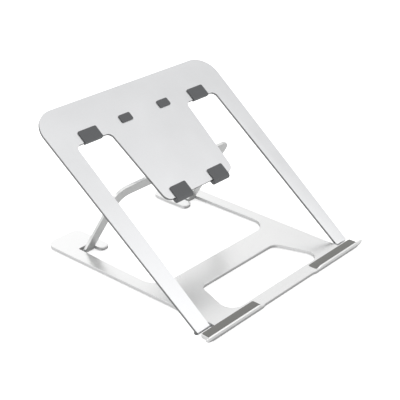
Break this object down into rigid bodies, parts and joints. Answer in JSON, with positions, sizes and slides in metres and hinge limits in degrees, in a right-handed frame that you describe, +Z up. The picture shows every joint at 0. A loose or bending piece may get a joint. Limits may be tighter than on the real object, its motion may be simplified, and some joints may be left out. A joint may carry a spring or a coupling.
{
  "type": "folding laptop stand",
  "caption": "Folding sheet-metal laptop stand: a flat base with front lips, a tilted slotted tray with soft pads, and a hinged arch-shaped prop behind it.",
  "frame": {"origin": "on the table, under the middle of the stand's outline as it is set up", "axes": "+Z up; +Y from the front lips, where the laptop's front edge rests, to the rear; +X to the right as the user faces the stand"},
  "size_m": [0.2474, 0.245, 0.1597],
  "materials": {
    "tray_aluminium": "fine satin, clear anodised",
    "base_aluminium": "fine satin, clear anodised",
    "prop_aluminium": "fine satin, clear anodised",
    "catch_aluminium": "satin, clear anodised",
    "pad_silicone": "matt grey silicone",
    "lip_silicone": "matt grey silicone",
    "foot_rubber": "matt black",
    "pin_steel": "ground",
    "washer_nylon": "matt grey"
  },
  "bodies": {
    "base": {"base_plate": "base_aluminium", "lip_pad_left": "lip_silicone", "lip_pad_right": "lip_silicone", "foot_front_left": "foot_rubber", "foot_front_right": "foot_rubber", "foot_rear_left": "foot_rubber", "foot_rear_right": "foot_rubber", "tray_pin_left": "pin_steel", "tray_pin_right": "pin_steel", "tray_spacer_left": "washer_nylon", "tray_spacer_right": "washer_nylon", "prop_pin_left": "pin_steel", "prop_pin_right": "pin_steel", "prop_washer_inner_left": "washer_nylon", "prop_washer_inner_right": "washer_nylon", "prop_washer_outer_left": "washer_nylon", "prop_washer_outer_right": "washer_nylon"},
    "tray": {"tray_plate": "tray_aluminium", "band_pad_left": "pad_silicone", "band_pad_right": "pad_silicone", "tongue_pad_left": "pad_silicone", "tongue_pad_right": "pad_silicone", "small_pad_left": "pad_silicone", "small_pad_right": "pad_silicone", "prop_catch": "catch_aluminium", "catch_liner": "pad_silicone", "catch_screw_left": "pin_steel", "catch_screw_right": "pin_steel"},
    "prop": {"prop_arch": "prop_aluminium"}
  },
  "joints": [
    {"name": "tray_tilt", "type": "hinge", "parent": "base", "child": "tray", "pos_m": [0, -0.1035, 0.0038], "axis": [1, 0, 0], "range_deg": [0, 80]},
    {"name": "prop_fold", "type": "hinge", "parent": "base", "child": "prop", "pos_m": [0, 0.0823, 0.0038], "axis": [1, 0, 0], "range_deg": [0, 57.76]}
  ]
}
